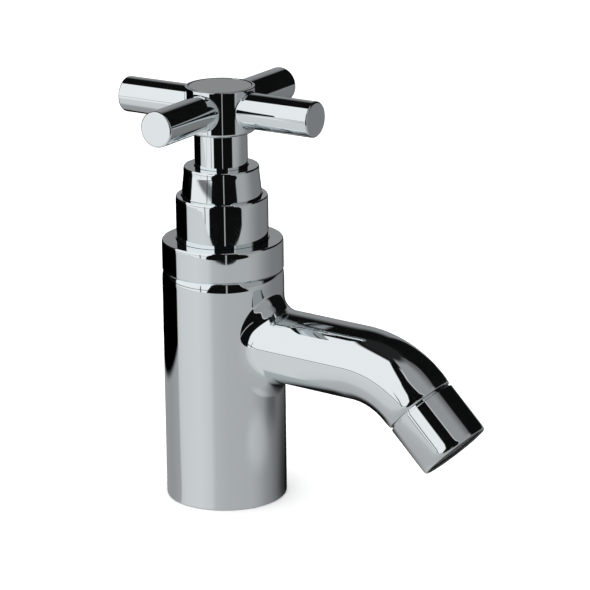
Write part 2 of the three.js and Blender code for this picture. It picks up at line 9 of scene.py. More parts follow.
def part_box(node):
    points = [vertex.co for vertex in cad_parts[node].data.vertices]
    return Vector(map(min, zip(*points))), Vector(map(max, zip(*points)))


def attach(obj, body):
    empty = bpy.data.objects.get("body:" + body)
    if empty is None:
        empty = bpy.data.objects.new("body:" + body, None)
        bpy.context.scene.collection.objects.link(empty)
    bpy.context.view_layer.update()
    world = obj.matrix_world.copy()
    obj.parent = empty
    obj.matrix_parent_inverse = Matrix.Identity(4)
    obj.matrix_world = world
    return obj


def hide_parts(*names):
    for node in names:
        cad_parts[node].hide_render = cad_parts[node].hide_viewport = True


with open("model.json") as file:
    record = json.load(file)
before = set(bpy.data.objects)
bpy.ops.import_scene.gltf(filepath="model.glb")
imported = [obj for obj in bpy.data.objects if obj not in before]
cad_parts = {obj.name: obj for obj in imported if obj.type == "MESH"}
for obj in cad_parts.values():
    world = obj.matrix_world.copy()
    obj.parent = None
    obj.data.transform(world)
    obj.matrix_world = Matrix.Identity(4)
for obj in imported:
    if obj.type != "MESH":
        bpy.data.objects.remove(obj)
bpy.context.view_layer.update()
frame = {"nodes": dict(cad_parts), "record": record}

mm = 0.001
scene = bpy.context.scene


# ---------------------------------------------------------------- studio: camera
# A long lens a little over a metre away, 17 degrees above level, looking past the tap's left side so
# that the spout comes forward and to the right.
scene.view_settings.view_transform = "Standard"
camera_azimuth = radians(-57.3)
camera_pitch = radians(16.9)
camera_roll = radians(-0.65)
camera_distance = 1152 * mm
frame_centre_right = 25.75 * mm
frame_centre_down = 0.37 * mm
picture_right = Vector((cos(camera_azimuth), sin(camera_azimuth), 0))
towards_camera = Vector((sin(camera_azimuth), -cos(camera_azimuth), 0))
view_back = towards_camera * cos(camera_pitch) + Vector((0, 0, sin(camera_pitch)))
picture_up = view_back.cross(picture_right)
aim = Vector((0, 0, 75 * mm)) + picture_right * frame_centre_right - picture_up * frame_centre_down

lens = bpy.data.cameras.new("long_lens")
lens.sensor_width = 36
lens.lens = 194.7
lens.clip_end = 20
camera = bpy.data.objects.new("studio_camera", lens)
scene.collection.objects.link(camera)
facing = Matrix((picture_right, picture_up, view_back)).transposed().to_4x4()
camera.matrix_world = (
    Matrix.Translation(aim + view_back * camera_distance) @ facing @ Matrix.Rotation(camera_roll, 4, "Z")
)
scene.camera = camera


# ---------------------------------------------------------------- studio: light
# Polished chrome shows only what stands round it: a tall white screen on the left, dark room behind
# the camera and overhead, a grey wall on the right and a paler strip at the back.
class Wire:
    """A shader socket that takes part in plain arithmetic."""

    def __init__(self, tree, socket):
        self.tree = tree
        self.socket = socket

    def math(self, operation, first, second):
        return node(self.tree, "ShaderNodeMath", {"operation": operation}, {0: first, 1: second})

    def __add__(self, other):
        return self.math("ADD", self, other)

    def __radd__(self, other):
        return self.math("ADD", other, self)

    def __sub__(self, other):
        return self.math("SUBTRACT", self, other)

    def __rsub__(self, other):
        return self.math("SUBTRACT", other, self)

    def __mul__(self, other):
        return self.math("MULTIPLY", self, other)

    def __rmul__(self, other):
        return self.math("MULTIPLY", other, self)

    def __rtruediv__(self, other):
        return self.math("DIVIDE", other, self)


def node(tree, kind, settings=None, inputs=None, output=0):
    """One shader node: its settings, then its sockets' values or links. Returns an output socket."""
    made = tree.nodes.new(kind)
    for name, value in (settings or {}).items():
        if name == "stops":
            ramp = made.color_ramp.elements
            while len(ramp) < len(value):
                ramp.new(0.5)
            for stop, (position, colour) in zip(ramp, value):
                stop.position = position
                stop.color = (*colour, 1)
        else:
            setattr(made, name, value)
    for name, value in (inputs or {}).items():
        if isinstance(value, Wire):
            tree.links.new(value.socket, made.inputs[name])
        else:
            made.inputs[name].default_value = value
    return Wire(tree, made.outputs[output]) if made.outputs else None


def ease(value, start, stop, low=0.0, high=1.0):
    """Low before start, high after stop, smooth between them."""
    inputs = {"Value": value, "From Min": start, "From Max": stop, "To Min": low, "To Max": high}
    return node(value.tree, "ShaderNodeMapRange", {"interpolation_type": "SMOOTHSTEP"}, inputs)


def band(value, start, stop, edge):
    """One between start and stop, nothing outside, with soft edges."""
    return ease(value, start - edge, start + edge) * (1 - ease(value, stop - edge, stop + edge))


room = bpy.data.worlds.new("studio_room")
room.use_nodes = True
scene.world = room
tree = room.node_tree
tree.nodes.clear()
heading = node(tree, "ShaderNodeTexCoord", output="Generated")


def part_along(direction):
    inputs = {0: heading, 1: direction}
    return node(tree, "ShaderNodeVectorMath", {"operation": "DOT_PRODUCT"}, inputs, "Value")


def turn_of(sideways, forward):
    """Degrees round from forward, positive to the right."""
    return node(tree, "ShaderNodeMath", {"operation": "ARCTAN2"}, {0: sideways, 1: forward}) * degrees(1)


around = turn_of(part_along(picture_right), part_along(towards_camera))
behind = turn_of(part_along(picture_right), part_along(-towards_camera))
height = node(tree, "ShaderNodeMath", {"operation": "ARCSINE"}, {0: part_along((0, 0, 1))}) * degrees(1)

# The white screen: its left, right and top edges, and its brightness, a little less low down. A dark
# line crosses it low down, and a thin stand and a seam run up its lower part.
screen_left = ease(height, -17, 50, -96.5, -106)
screen_right = ease(height, -17, 16, -31, -20)
screen = ease(around - screen_left, -1.2, 1.2) * (1 - ease(around - screen_right, -1.2, 1.2))
screen = screen * (1 - ease(height, 63, 68)) * ease(height, -19, -6, 0.79, 0.87)
screen = screen * (1 - 0.8 * band(height, -6.6, -5.0, 0.4))
stand = band(around, -43, -40.8, 0.5) * (1 - ease(height, -1, 8))
seam = band(around, -65.4, -64.3, 0.4) * (1 - ease(height, -12, -8))
screen = screen * (1 - 0.85 * stand) * (1 - 0.6 * seam)

# The grey board on the right leans away from the camera, so its near edge slopes. Its edge is bright,
# and a low wall carries on below it.
board_left = ease(height, -17, 10, 51, 33) + ease(height, 22, 50, 0, -30)
board_right = ease(height, 38, 64, 80, 100)
board = ease(around - board_left, -1.5, 1.5) * (1 - ease(around - board_right, -6, 5))
board = board * ease(height, -5, -3) * (1 - ease(height, 71, 79))
board = board * (1 - ease(around, 45, 92, 0, 0.6) * ease(height, 25, 45)) * 0.30
edge_width = ease(height, 0, 40, 1.5, 5.5)
board_edge = band(around - board_left, 0 - edge_width, 0, 0.4) * band(height, -3, 62, 2) * 0.5
low_wall = ease(around - board_left, -1.5, 1.5) * (1 - ease(around, 128, 140))
low_wall = low_wall * (1 - ease(height, -5, -3)) * ease(around, 60, 112, 0.37, 0.2)

# Behind the tap are a pale strip and a sheet of paper. Close beside the camera is a bright slit.
back_strip = band(behind, -18, 17, 2) * (1 - ease(height, 22, 42)) * 0.26
back_paper = band(behind, 17, 28, 1) * (1 - ease(height, -14, -10)) * 0.5
bright_slit = band(around, 5.8, 8.4, 0.5) * band(height, -40, 12, 2) * 0.37
ceiling = ease(height, 66, 76) * 0.012
dark_room = 0.004
glow = screen + board + board_edge + low_wall
glow = glow + back_strip + back_paper + bright_slit + ceiling + dark_room

# Only the chrome's reflections see this room. Everything else is lit by even daylight.
seen = node(tree, "ShaderNodeLightPath", output="Is Glossy Ray")
room_light = node(tree, "ShaderNodeBackground", inputs={"Color": glow, "Strength": 1.0})
daylight = node(tree, "ShaderNodeBackground", inputs={"Color": (1, 1, 1, 1), "Strength": 1.0})
either = node(tree, "ShaderNodeMixShader", inputs={0: seen, 1: daylight, 2: room_light})
node(tree, "ShaderNodeOutputWorld", inputs={"Surface": either})

# The lamps that whiten the floor. They are kept out of the chrome.
for lamp_name, place, power, size in (
    ("overhead_lamp", Vector((0, 0, 1.6)), 22, 2.4),
    ("front_lamp", towards_camera * 1.3 + Vector((0, 0, 1.1)), 8, 1.4),
):
    lamp = bpy.data.lights.new(lamp_name, "AREA")
    lamp.energy = power
    lamp.size = size
    holder = bpy.data.objects.new(lamp_name, lamp)
    holder.location = place
    holder.rotation_euler = (Vector((0, 0, 0)) - place).to_track_quat("-Z", "Y").to_euler()
    holder.visible_glossy = False
    scene.collection.objects.link(holder)


def plain_material(name):
    material = bpy.data.materials.new(name)
    material.use_nodes = True
    material.node_tree.nodes.clear()
    return material, material.node_tree


def principled(tree, **inputs):
    """The surface shader and the material's output. An underscore in a name stands for a space."""
    sockets = {name.replace("_", " "): value for name, value in inputs.items()}
    shader = node(tree, "ShaderNodeBsdfPrincipled", inputs=sockets, output="BSDF")
    node(tree, "ShaderNodeOutputMaterial", inputs={"Surface": shader})


# ---------------------------------------------------------------- studio: floor and table top
# The pale floor fills the picture. The chrome sees a smaller round table top instead, whose edge makes
# the black bands start part way up the column.
# The table top is a glowing sheet, no lamp, that only reflections see: its tones are a painted reflection
# of a lit table.
floor_material, tree = plain_material("pale_floor")
principled(tree, Base_Color=(0.93, 0.93, 0.93, 1), Roughness=0.9, Specular_IOR_Level=0.1)
bm = bmesh.new()
bmesh.ops.create_grid(bm, x_segments=1, y_segments=1, size=6)
mesh = bpy.data.meshes.new("floor")
bm.to_mesh(mesh)
bm.free()
mesh.materials.append(floor_material)
floor = bpy.data.objects.new("floor", mesh)
floor.visible_glossy = False
scene.collection.objects.link(floor)

table_material, tree = plain_material("table_top")
spot = node(tree, "ShaderNodeTexCoord", output="Object")


def table_along(direction):
    inputs = {0: spot, 1: direction}
    return node(tree, "ShaderNodeVectorMath", {"operation": "DOT_PRODUCT"}, inputs, "Value")


table_turn = node(
    tree,
    "ShaderNodeMath",
    {"operation": "ARCTAN2"},
    {0: table_along(picture_right), 1: table_along(towards_camera)},
) * degrees(1)
table_reach = node(tree, "ShaderNodeVectorMath", {"operation": "LENGTH"}, {0: spot}, "Value")
seen_from = 22 * mm  # how far from the middle the chrome that mirrors the table stands
seen_turn = table_turn * (1 + seen_from / (2 * table_reach - seen_from))
# Painted reflection: the table's brightness as the chrome sees it, by turn round the column, lighter
# towards the screen and darker behind.
tones_by_turn = (
    (-160, 0.31), (-125, 0.31), (-101, 0.36), (-97, 0.58), (-85, 0.63), (-50, 0.655), (-28, 0.60),
    (-18, 0.475), (5, 0.435), (50, 0.42), (65, 0.37), (85, 0.27), (105, 0.205), (140, 0.19), (154, 0.16),
    (166, 0.04),
)
stops = [((turn + 180) / 360, (tone, tone, tone)) for turn, tone in tones_by_turn]
table_tones = node(tree, "ShaderNodeValToRGB", {"stops": stops}, {"Fac": (seen_turn + 180) * (1 / 360)})
back_edge = table_along(picture_right * 0.7 + towards_camera * 0.714)
# Painted shade: the table darkens close to the column's foot, on the right and behind it.
painted_contact_shade = 1 - ease(seen_turn, 95, 150) * ease(table_reach, 30 * mm, 260 * mm, 0.8, 0.0)
beyond_edge = (1 - ease(back_edge, -158 * mm, -140 * mm)) * (1 - ease(seen_turn, -99.5, -97))


def table_patch(right, forward, inner, outer):
    """One near a place on the table, nothing outside."""
    place = picture_right * right + towards_camera * forward
    reach = node(tree, "ShaderNodeVectorMath", {"operation": "DISTANCE"}, {0: spot, 1: place}, "Value")
    return 1 - ease(reach, inner, outer)


# Painted light: a brighter patch on the table under the aerator.
painted_light_under_outlet = table_patch(78 * mm, 50 * mm, 14 * mm, 46 * mm)
# Painted shadow: a dark patch where the chrome sees the table under the spout.
painted_spout_shadow = table_patch(132 * mm, -4 * mm, 8 * mm, 50 * mm)
table_shine = table_tones * painted_contact_shade * (1 - beyond_edge) * (1 - 0.45 * painted_spout_shadow) + 0.1 * painted_light_under_outlet
# The table top glows with this painted reflection, shade and light, though it is no lamp.
table_glow = node(tree, "ShaderNodeEmission", inputs={"Color": table_shine, "Strength": 1.0})
node(tree, "ShaderNodeOutputMaterial", inputs={"Surface": table_glow})
bm = bmesh.new()
bmesh.ops.create_circle(bm, cap_ends=True, segments=128, radius=650 * mm)
table_centre = picture_right * -33 * mm - towards_camera * 310 * mm + Vector((0, 0, 0.2 * mm))
bmesh.ops.translate(bm, verts=bm.verts, vec=table_centre)
mesh = bpy.data.meshes.new("table_top")
bm.to_mesh(mesh)
bm.free()
mesh.materials.append(table_material)
table = bpy.data.objects.new("table_top", mesh)
table.visible_camera = False
table.visible_diffuse = False
table.visible_shadow = False
table.visible_transmission = False
scene.collection.objects.link(table)


# ---------------------------------------------------------------- column and spout
# One brass casting, turned and polished, then chrome plated. The spout grows out of the column through
# a rolled fillet, runs out almost level and bends down to the aerator.
turn_steps = 128  # facets round a full turn
column_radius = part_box("tap_body")[1].x
column_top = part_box("tap_body")[1].z
foot_round = 0.9 * mm
spout_radius = 13.3 * mm
spout_fillet = 6.5 * mm  # above and below
spout_side_fillet = 11 * mm
spout_fall = radians(1.9)
spout_run = 57.9 * mm
bend_radius = 32.6 * mm
outlet_tilt = radians(45.3)
spout_nose = 3 * mm
spout_bore = 9 * mm
thread_socket = 11.9 * mm
thread_depth = 7.6 * mm
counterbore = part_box("body_collar")[0].z - 0.3 * mm
counterbore_radius = 17.5 * mm
headwork_socket = 10.75 * mm
seat_level = counterbore - 32 * mm
chamber_top = counterbore - 10 * mm
chamber_radius = 12.3 * mm
inlet_radius = 6.5 * mm
tail_socket = 10.75 * mm
tail_socket_top = 18.6 * mm
recess_radius = 19 * mm
recess_depth = 2 * mm
spout_root = Vector((0, 0, seat_level + 10.8 * mm))
window_half_angle = radians(20.25 * 360 / turn_steps)
bore_half_angle = radians(22.25 * 360 / turn_steps)


def levels(low, high, count):
    return [low + (high - low) * i / count for i in range(count + 1)]


def spun(profile, closed=True):
    """A surface of revolution about Z, from a profile of radius and height."""
    bm = bmesh.new()
    corners = [bm.verts.new((radius, 0, level)) for radius, level in profile]
    pairs = list(zip(corners, corners[1:]))
    if closed:
        pairs.append((corners[-1], corners[0]))
    edges = [bm.edges.new(pair) for pair in pairs]
    full_turn = {"cent": (0, 0, 0), "axis": (0, 0, 1), "angle": 2 * pi, "steps": turn_steps}
    bmesh.ops.spin(bm, geom=corners + edges, use_merge=True, **full_turn)
    bmesh.ops.remove_doubles(bm, verts=bm.verts, dist=1e-7)
    bmesh.ops.recalc_face_normals(bm, faces=bm.faces)
    return bm


def at_radius(verts, radius):
    return all(abs(hypot(v.co.x, v.co.y) - radius) < 1e-6 for v in verts)


def rounded(bm, rings, width, segments):
    """Rounds the circular edges that stand at the given radii and heights."""
    chosen = []
    for edge in bm.edges:
        for radius, level in rings:
            if at_radius(edge.verts, radius) and all(abs(v.co.z - level) < 1e-6 for v in edge.verts):
                chosen.append(edge)
    round_off = {"offset_type": "OFFSET", "profile": 0.5, "affect": "EDGES", "material": -1}
    bmesh.ops.bevel(bm, geom=chosen, offset=width, segments=segments, **round_off)


def soft_edge(radius, level, lead, width):
    """Profile points of an outer edge that buffing has rolled over, ending on the flat."""
    steps = ((0.0, 1.0), (0.03, 0.55), (0.12, 0.28), (0.32, 0.1), (0.6, 0.02), (1.0, 0.0))
    return [(radius - width * inward, level - lead * below) for inward, below in steps]


def rolled_edge(radius, level, lead, width):
    """The same with an even curve, where the buffing wheel has leaned on the edge."""
    return [(radius - width * share**2, level - lead * (1 - share)) for share in levels(0, 1, 8)]


def corner_place(vert):
    return tuple(round(part, 7) for part in vert.co)


def in_order(edges):
    """The vertices of one closed loop of edges, in order, from the same one on every run."""
    edges = set(edges)
    first = min((vert for edge in edges for vert in edge.verts), key=corner_place)
    neighbours = [(edge, edge.other_vert(first)) for edge in first.link_edges if edge in edges]
    last, vert = min(neighbours, key=lambda pair: corner_place(pair[1]))
    ring = [first]
    while vert is not first:
        ring.append(vert)
        last = next(e for e in vert.link_edges if e in edges and e is not last)
        vert = last.other_vert(vert)
    return ring


def grown(bm, ring, places):
    """Extrudes a closed ring and puts each new vertex at its place."""
    edges = [bm.edges.get((vert, ring[i - 1])) for i, vert in enumerate(ring)]
    made = bmesh.ops.extrude_edge_only(bm, edges=edges)["geom"]
    fresh = {item for item in made if isinstance(item, bmesh.types.BMVert)}
    outer = [next(e.other_vert(v) for e in v.link_edges if e.other_vert(v) in fresh) for v in ring]
    for vert, place in zip(outer, places):
        vert.co = place
    return outer


def branched(bm, normals, turn, wall, pipe, fillets, root, fall, window, patch_rings, fillet_rings):
    """Opens a window in a round wall and rolls the wall out into a pipe that runs along turned -Y.

    The fillets are the roll's radius above and below the pipe, and at its sides. The window is half
    its width as an angle, and its lowest and highest levels.
    Returns the pipe's first ring and each vertex's angle round the pipe, from its top.
    The true surface normals go into normals, by vertex.
    """
    half_angle, low, high = window
    back = turn.inverted()
    sheet = []
    for face in bm.faces:
        middle = back @ face.calc_center_median()
        in_window = abs(atan2(middle.x, -middle.y)) < half_angle and low < middle.z < high
        if in_window and at_radius(face.verts, wall):
            sheet.append(face)
    bmesh.ops.delete(bm, geom=sheet, context="FACES")
    ring = in_order([e for e in bm.edges if e.is_boundary and at_radius(e.verts, wall)])

    along = Vector((0, -cos(fall), -sin(fall)))
    up = Vector((0, -sin(fall), cos(fall)))
    across = Vector((1, 0, 0))
    starts, angles, rolls, wall_spots, centres, to_wall, to_pipe = [], [], [], [], [], [], []
    for vert in ring:
        local = back @ vert.co
        swing = atan2(local.x, -local.y)
        lift = local.z - root.z
        reach_up = high - root.z if lift > 0 else root.z - low
        angle = atan2(swing / half_angle, lift / reach_up)
        fillet = fillets[0] + (fillets[1] - fillets[0]) * sin(angle) ** 2
        side = (pipe + fillet) * sin(angle)
        rise = (pipe + fillet) * cos(angle)
        out = (sqrt((wall + fillet) ** 2 - side**2) - rise * sin(fall)) / cos(fall)
        centre = root + along * out + up * rise + across * side
        inward = -Vector((centre.x, centre.y, 0)).normalized()
        touch = centre + inward * fillet
        starts.append((swing, local.z))
        angles.append(angle)
        rolls.append(fillet)
        wall_spots.append((atan2(touch.x, -touch.y), touch.z))
        centres.append(centre)
        to_wall.append(inward)
        to_pipe.append(-(up * cos(angle) + across * sin(angle)))

    for step in range(1, patch_rings + 1):
        share = step / patch_rings
        places = []
        for (swing, level), (touch_swing, touch_level) in zip(starts, wall_spots):
            here = swing + (touch_swing - swing) * share
            there = level + (touch_level - level) * share
            places.append(turn @ Vector((wall * sin(here), -wall * cos(here), there)))
        ring = grown(bm, ring, places)
        for vert in ring:
            normals[vert] = Vector((vert.co.x, vert.co.y, 0)).normalized()
    for step in range(1, fillet_rings + 1):
        share = step / fillet_rings
        rays = [first.slerp(last, share) for first, last in zip(to_wall, to_pipe)]
        places = [turn @ (centre + ray * roll) for centre, ray, roll in zip(centres, rays, rolls)]
        ring = grown(bm, ring, places)
        for vert, ray in zip(ring, rays):
            normals[vert] = turn.to_3x3() @ -ray
    return ring, angles


def spout_line(distance):
    """A point on the spout's centre line, the way it runs there, and the way up across it."""
    bend_length = bend_radius * (outlet_tilt - spout_fall)
    run = min(distance, spout_run)
    turned_by = min(max(distance - spout_run, 0), bend_length) / bend_radius
    nose = max(distance - spout_run - bend_length, 0)
    tilt = spout_fall + turned_by
    out = run * cos(spout_fall) + bend_radius * (sin(tilt) - sin(spout_fall)) + nose * cos(tilt)
    down = run * sin(spout_fall) + bend_radius * (cos(spout_fall) - cos(tilt)) + nose * sin(tilt)
    place = spout_root + Vector((0, -out, -down))
    return place, Vector((0, -cos(tilt), -sin(tilt))), Vector((0, -sin(tilt), cos(tilt)))


spout_length = spout_run + bend_radius * (outlet_tilt - spout_fall) + spout_nose


def along_spout(bm, normals, ring, angles, radius, stations):
    """Carries a ring on along the spout, at one radius, and returns the last ring."""
    for distance in stations:
        place, _, up = spout_line(distance)
        rays = [up * cos(angle) + Vector((sin(angle), 0, 0)) for angle in angles]
        ring = grown(bm, ring, [place + ray * radius for ray in rays])
        for vert, ray in zip(ring, rays):
            normals[vert] = ray
    return ring


def made(name, bm, body, slot, material, replaces=(), normals=None, crease=35):
    """A finished piece: smooth faces with creases where they really turn, its finish and its body."""
    for face in bm.faces:
        face.smooth = True
    for edge in bm.edges:
        edge.smooth = not (edge.is_manifold and edge.calc_face_angle(0) > radians(crease))
    bm.verts.index_update()
    chosen = {vert.index: normal for vert, normal in (normals or {}).items() if vert.is_valid}
    mesh = bpy.data.meshes.new(name)
    bm.to_mesh(mesh)
    bm.free()
    mesh.materials.append(material)
    if chosen:
        all_normals = [chosen.get(i, (0, 0, 0)) for i in range(len(mesh.vertices))]
        mesh.normals_split_custom_set_from_vertices(all_normals)
    piece = bpy.data.objects.new(name, mesh)
    scene.collection.objects.link(piece)
    if not chosen:
        flat_first = piece.modifiers.new("even_flats", "WEIGHTED_NORMAL")
        flat_first.weight = 100
        flat_first.keep_sharp = True
    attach(piece, body)
    if replaces:
        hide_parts(*replaces)
    return piece


def noise(tree, spot, scale, detail):
    return node(tree, "ShaderNodeTexNoise", inputs={"Vector": spot, "Scale": scale, "Detail": detail})


def bumped(tree, relief, strength, depth):
    inputs = {"Height": relief, "Strength": strength, "Distance": depth}
    return node(tree, "ShaderNodeBump", inputs=inputs, output="Normal")


def chrome_plate():
    """Bright chrome: a faint ripple left by the polishing wheel, and a little haze from handling."""
    material, tree = plain_material("polished_chrome")
    spot = node(tree, "ShaderNodeTexCoord", output="Object")
    ripple = noise(tree, spot, 60.0, 2.0)
    haze = noise(tree, spot, 220.0, 6.0)
    relief = bumped(tree, ripple, 0.12, 0.1 * mm)
    principled(
        tree,
        Base_Color=(0.877, 0.93, 0.953, 1),
        Metallic=1.0,
        Roughness=ease(haze, 0.45, 0.75, 0.025, 0.06),
        Normal=relief,
    )
    return material


chrome = chrome_plate()

wall_low = spout_root.z - 24 * mm
wall_high = spout_root.z + 20.6 * mm
chamber_low = spout_root.z - 9.9 * mm
chamber_high = spout_root.z + 10.2 * mm
window_lead = 6 * mm
top_lead, top_width = 3.7 * mm, 0.48 * mm
profile = [(column_radius, 0), (column_radius, wall_low - window_lead)]
profile += [(column_radius, level) for level in levels(wall_low, wall_high, 40)]
profile += [
    *rolled_edge(column_radius, column_top, top_lead, top_width),
    (counterbore_radius, column_top),
    (counterbore_radius, counterbore),
    (headwork_socket, counterbore),
    (headwork_socket, chamber_top),
    (chamber_radius, chamber_top),
]
profile += [(chamber_radius, level) for level in levels(chamber_high, chamber_low, 24)]
profile += [
    (chamber_radius, seat_level),
    (inlet_radius, seat_level),
    (inlet_radius, tail_socket_top),
    (tail_socket, tail_socket_top),
    (tail_socket, recess_depth),
    (recess_radius, recess_depth),
    (recess_radius, 0),
]
bm = spun(profile)
rounded(bm, [(column_radius, 0)], foot_round, 6)
normals = {}
for vert in bm.verts:
    if at_radius([vert], column_radius):
        normals[vert] = Vector((vert.co.x, vert.co.y, 0)).normalized()
window = window_half_angle, wall_low, wall_high
fillets = spout_fillet, spout_side_fillet
forward = Matrix.Identity(4)
ring, angles = branched(
    bm, normals, forward, column_radius, spout_radius, fillets, spout_root, spout_fall, window, 6, 10
)
fillet_end = 31 * mm
run_stations = levels(fillet_end, spout_run, 8)
bend_stations = levels(spout_run, spout_length - spout_nose, 30)[1:]
ring = along_spout(bm, normals, ring, angles, spout_radius, run_stations + bend_stations[:-6])
nose_lead, nose_width = 7 * mm, 0.6 * mm
for radius, distance in soft_edge(spout_radius, spout_length, nose_lead, nose_width):
    ring = along_spout(bm, {}, ring, angles, radius, [distance])
nose_ring = along_spout(bm, {}, ring, angles, thread_socket, [spout_length])
nose_ring = along_spout(bm, {}, nose_ring, angles, thread_socket, [spout_length - thread_depth])
nose_ring = along_spout(bm, {}, nose_ring, angles, spout_bore, [spout_length - thread_depth])
window = bore_half_angle, chamber_low, chamber_high
bore_ring, bore_angles = branched(
    bm, {}, forward, chamber_radius, spout_bore, (0, 0), spout_root, spout_fall, window, 4, 0
)
bore_start = 16 * mm
bore_stations = levels(bore_start, spout_run, 6)
bore_stations += levels(spout_run, spout_length - spout_nose, 16)[1:-3]
bore_ring = along_spout(bm, {}, bore_ring, bore_angles, spout_bore, bore_stations)
loops = []
for open_ring in (nose_ring, bore_ring):
    loops += [bm.edges.get((vert, open_ring[i - 1])) for i, vert in enumerate(open_ring)]
bmesh.ops.bridge_loops(bm, edges=loops)
bmesh.ops.recalc_face_normals(bm, faces=bm.faces)
made("column_and_spout", bm, "tap", "chrome", chrome, ["tap_body"], normals)


# ---------------------------------------------------------------- collar and cover sleeves
# Turned brass rings, plated bright. Each stands in a recess in the top of the one below, so a fine dark
# line runs round its foot. Their edges are just broken with a small round.
seat_depth = 3.3 * mm
ledge = 1.7 * mm
neck_hole = 8.8 * mm
sleeve_wall = 1.8 * mm
sleeve_gap = 0.3 * mm


def sleeve(name, node_name, foot_radius, top_radius, hole, seat_radius):
    """A plated sleeve: its foot, the taper above the sleeve below it, and the recess in its top."""
    low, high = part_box(node_name)[0].z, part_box(node_name)[1].z
    hollow = foot_radius - sleeve_wall
    foot_level = low if foot_radius == top_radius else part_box("cover_sleeve_large")[1].z
    profile = [(hollow, low), (foot_radius, low), (foot_radius, foot_level + 0.01 * mm)]
    profile += soft_edge(top_radius, high, 2.6 * mm, 0.45 * mm)
    profile += [(seat_radius, high), (seat_radius, high - seat_depth), (hole, high - seat_depth)]
    profile += [(hole, high - seat_depth - ledge), (hollow, high - seat_depth - ledge)]
    made(name, spun(profile), "tap", "chrome", chrome, [node_name])


hexagon_room = 14.3 * mm
spigot_radius = 17.2 * mm
collar_gap = 0.3 * mm
collar_spigot_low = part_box("body_collar")[0].z
collar_low, collar_high = column_top + collar_gap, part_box("body_collar")[1].z
collar_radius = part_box("body_collar")[1].x
large_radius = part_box("cover_sleeve_large")[1].x
middle_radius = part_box("cover_sleeve_middle")[1].x
middle_top_radius = 13.6 * mm
small_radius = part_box("cover_sleeve_small")[1].x
collar_profile = [
    (hexagon_room, collar_spigot_low),
    (spigot_radius, collar_spigot_low),
    (spigot_radius, collar_low),
    (collar_radius, collar_low),
    *soft_edge(collar_radius, collar_high, 2.4 * mm, 0.55 * mm),
    (large_radius + sleeve_gap, collar_high),
    (large_radius + sleeve_gap, collar_high - seat_depth),
    (neck_hole, collar_high - seat_depth),
    (neck_hole, collar_high - seat_depth - ledge),
    (hexagon_room, collar_high - seat_depth - ledge),
]
bm = spun(collar_profile)
rounded(bm, [(collar_radius, collar_low)], 0.15 * mm, 3)
made("collar", bm, "tap", "chrome", chrome, ["body_collar"])
middle_seat, small_seat = middle_radius + sleeve_gap, small_radius + sleeve_gap
middle_hole = 8 * mm
sleeve("large_sleeve", "cover_sleeve_large", large_radius, large_radius, neck_hole, middle_seat)
sleeve("middle_sleeve", "cover_sleeve_middle", middle_radius, middle_top_radius, middle_hole, small_seat)

small_low, small_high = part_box("cover_sleeve_small")[0].z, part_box("cover_sleeve_small")[1].z
small_hole = 7.4 * mm
small_profile = [(small_hole, small_low), (small_radius, small_low)]
small_profile += soft_edge(small_radius, small_high, 1.5 * mm, 0.4 * mm)
small_profile += [(small_hole, small_high)]
made("small_sleeve", spun(small_profile), "tap", "chrome", chrome, ["cover_sleeve_small"])


# ---------------------------------------------------------------- cross handle
# Hub and four arms in one casting, chrome plated. Each arm leaves the hub through a tight fillet and
# ends in a flat face with a broken edge.
hub_radius = 12.5 * mm
hub_low, hub_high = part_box("cross_handle")[0].z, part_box("cross_handle")[1].z
arm_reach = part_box("cross_handle")[1].x
arm_radius = 6.45 * mm
arm_level = hub_high - 1.2 * mm - arm_radius
arm_fillet = 0.7 * mm
arm_edge = 0.7 * mm
hub_foot_round = 1.1 * mm
cap_hole = 11.5 * mm
cap_seat = hub_high - 1.2 * mm
screw_hole = 2.7 * mm
bush_room = 7 * mm
well_radius = 7.5 * mm
well_low = cap_seat - 2 * mm
bush_ceiling = well_low - 1.4 * mm
skirt_radius = small_radius + 0.45 * mm
skirt_top = hub_low + 2.8 * mm
arm_window_low = hub_low + 1.15 * mm
arm_window_high = hub_high - 0.35 * mm
profile = [(hub_radius, hub_low)]
profile += [(hub_radius, level) for level in levels(arm_window_low, arm_window_high, 24)]
profile += [
    (hub_radius, hub_high),
    (cap_hole, hub_high),
    (cap_hole, cap_seat),
    (well_radius, cap_seat),
    (well_radius, well_low),
    (screw_hole, well_low),
    (screw_hole, bush_ceiling),
    (bush_room, bush_ceiling),
    (bush_room, skirt_top),
    (skirt_radius, skirt_top),
    (skirt_radius, hub_low),
]
bm = spun(profile)
rounded(bm, [(hub_radius, hub_low)], hub_foot_round, 5)
rounded(bm, [(hub_radius, hub_high)], 0.3 * mm, 3)
normals = {}
for vert in bm.verts:
    if at_radius([vert], hub_radius):
        normals[vert] = Vector((vert.co.x, vert.co.y, 0)).normalized()
arm_root = Vector((0, 0, arm_level))
arm_start = 15 * mm
window = pi / 4, arm_window_low, arm_window_high
for quarter in range(4):
    turn = Matrix.Rotation(quarter * pi / 2, 4, "Z")
    ring, angles = branched(
        bm, normals, turn, hub_radius, arm_radius, (arm_fillet, arm_fillet), arm_root, 0, window, 3, 5
    )
    rays = [turn.to_3x3() @ Vector((sin(angle), 0, cos(angle))) for angle in angles]
    outward = turn.to_3x3() @ Vector((0, -1, 0))
    for distance in levels(arm_start, arm_reach - arm_edge, 4):
        ring = grown(bm, ring, [arm_root + outward * distance + ray * arm_radius for ray in rays])
        for vert, ray in zip(ring, rays):
            normals[vert] = ray
    for step in range(1, 5):
        lean = step / 4 * pi / 2
        distance = arm_reach - arm_edge * (1 - sin(lean))
        radius = arm_radius - arm_edge * (1 - cos(lean))
        ring = grown(bm, ring, [arm_root + outward * distance + ray * radius for ray in rays])
        for vert, ray in zip(ring, rays):
            normals[vert] = (ray * cos(lean) + outward * sin(lean)).normalized()
    bm.faces.new(ring)
bmesh.ops.recalc_face_normals(bm, faces=bm.faces)
made("handle_cross", bm, "handle", "chrome", chrome, ["cross_handle"], normals)


